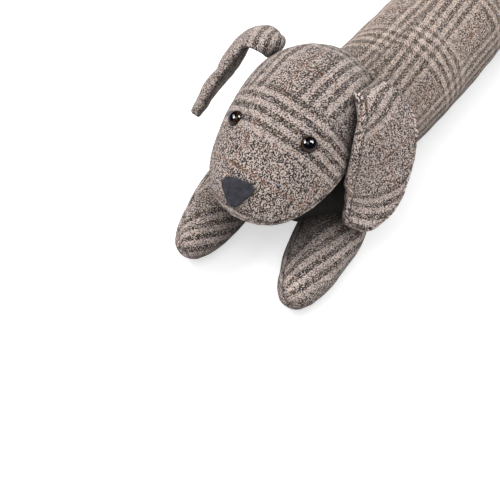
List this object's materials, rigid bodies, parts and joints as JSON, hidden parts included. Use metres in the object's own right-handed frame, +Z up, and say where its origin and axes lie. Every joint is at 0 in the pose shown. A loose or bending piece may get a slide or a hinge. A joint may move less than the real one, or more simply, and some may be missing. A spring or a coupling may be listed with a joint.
{
  "type": "draught excluder",
  "caption": "Long stuffed draught excluder in check tweed, shaped as a lying dog with drop ears, paws and a tail.",
  "frame": {"origin": "on the floor under the body's centre line, at its flat underside, 450 mm from the rump's end", "axes": "+X along the body towards the rump, so the head is at -X; +Z up; the dog's left is -Y"},
  "size_m": [0.8912, 0.2411, 0.1645],
  "materials": {
    "tweed": "brown and cream glen check tweed, 2/2 twill, slightly hairy",
    "eye": "glossy dome, black pupil in a dark amber ring",
    "nose_felt": "matt wool felt"
  },
  "bodies": {
    "root": {"body": "tweed", "head": "tweed", "ear_left": "tweed", "ear_right": "tweed", "paw_left": "tweed", "paw_right": "tweed", "hind_leg_left": "tweed", "hind_leg_right": "tweed", "tail": "tweed", "eye_left": "eye", "eye_right": "eye", "nose": "nose_felt"}
  },
  "joints": []
}
